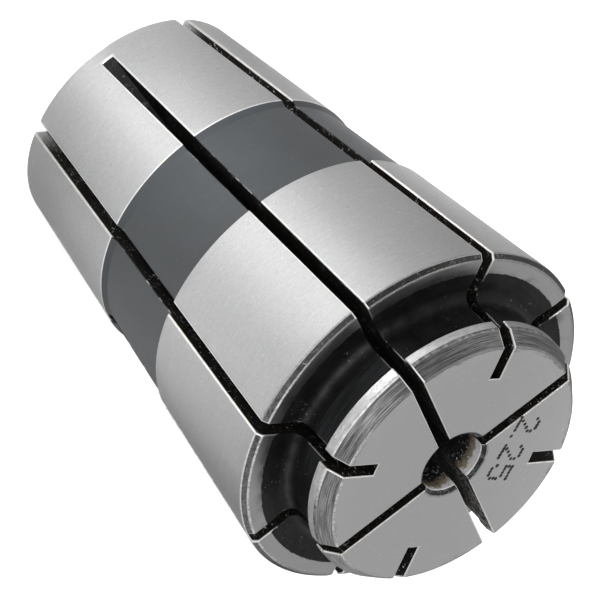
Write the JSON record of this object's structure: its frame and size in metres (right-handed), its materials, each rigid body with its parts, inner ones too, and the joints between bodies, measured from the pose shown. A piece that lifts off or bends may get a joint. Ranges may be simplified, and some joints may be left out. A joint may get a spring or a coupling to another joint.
{
  "type": "spring collet",
  "caption": "One-piece slotted steel collet with an outer taper, nut groove and small clamping bore, for holding a round shank.",
  "frame": {"origin": "centre of the tail face", "axes": "+Z along the axis from the tail towards the nose; +X through one of the slots that are open at the nose"},
  "size_m": [0.013, 0.013, 0.0187],
  "materials": {
    "hardened_steel": "ground on the taper, ring and nose, dark as hardened in the slots and groove"
  },
  "bodies": {
    "root": {"spring_collet": "hardened_steel"}
  },
  "joints": []
}
